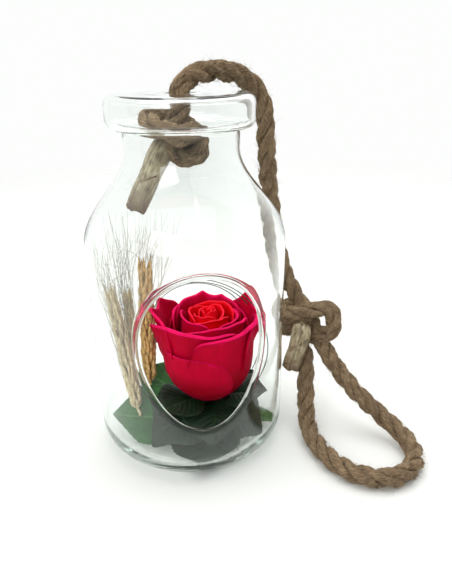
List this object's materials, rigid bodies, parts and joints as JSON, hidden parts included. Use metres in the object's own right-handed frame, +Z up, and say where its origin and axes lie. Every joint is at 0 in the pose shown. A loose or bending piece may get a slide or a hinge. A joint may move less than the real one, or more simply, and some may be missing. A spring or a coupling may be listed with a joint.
{
  "type": "preserved rose in a glass bottle",
  "caption": "Preserved rose with leaves, barley ears and grass in a clear glass bottle with a side window, hung by a knotted jute rope.",
  "frame": {"origin": "centre of the bottle's foot, on the surface it stands on", "axes": "+Z up along the bottle's axis, the side window faces -Y"},
  "size_m": [0.1962, 0.1529, 0.2363],
  "materials": {
    "bottle_glass": "clear blown glass, fire-polished edges",
    "jute": "three-strand twisted jute, hairy",
    "end_wrap": "glue-stiffened pale sleeve on the cut end",
    "petal": "soft preserved petal, crimson with a pink sheen",
    "leaf": "preserved leaf, dark satin green with veins",
    "stem": "green stem",
    "straw": "dry golden straw",
    "grass": "thin dark green grass",
    "glue": "cloudy clear hot-melt glue"
  },
  "bodies": {
    "root": {"glass_bottle": "bottle_glass", "rope_inner_end": "jute", "rope_inner_knot": "jute", "rope_span": "jute", "rope_outer_knot": "jute", "rope_loop": "jute", "rope_outer_end": "jute", "inner_end_sleeve": "end_wrap", "outer_end_sleeve": "end_wrap", "rose_petal_01": "petal", "rose_petal_02": "petal", "rose_petal_03": "petal", "rose_petal_04": "petal", "rose_petal_05": "petal", "rose_petal_06": "petal", "rose_petal_07": "petal", "rose_petal_08": "petal", "rose_petal_09": "petal", "rose_petal_10": "petal", "rose_petal_11": "petal", "rose_petal_12": "petal", "rose_petal_13": "petal", "rose_petal_14": "petal", "rose_petal_15": "petal", "rose_petal_16": "petal", "rose_petal_17": "petal", "rose_petal_18": "petal", "rose_petal_19": "petal", "rose_petal_20": "petal", "rose_bud_core": "petal", "leaf_left": "leaf", "leaf_front_left": "leaf", "leaf_front": "leaf", "leaf_front_right": "leaf", "leaf_right": "leaf", "leaf_right_curl": "leaf", "leaf_back_right": "leaf", "leaf_back": "leaf", "leaf_back_left": "leaf", "leaf_upper_left": "leaf", "leaf_upper_front": "leaf", "leaf_upper_right": "leaf", "rose_sepal_1": "leaf", "rose_sepal_2": "leaf", "rose_sepal_3": "leaf", "rose_sepal_4": "leaf", "rose_sepal_5": "leaf", "rose_calyx": "leaf", "rose_stem": "stem", "glue_pad": "glue", "barley_ear_left": "straw", "barley_ear_middle": "straw", "barley_ear_right": "straw", "barley_stalk_left": "straw", "barley_stalk_middle": "straw", "barley_stalk_right": "straw", "grass_blade_outer": "grass", "grass_blade_middle": "grass", "grass_blade_inner": "grass"}
  },
  "joints": []
}
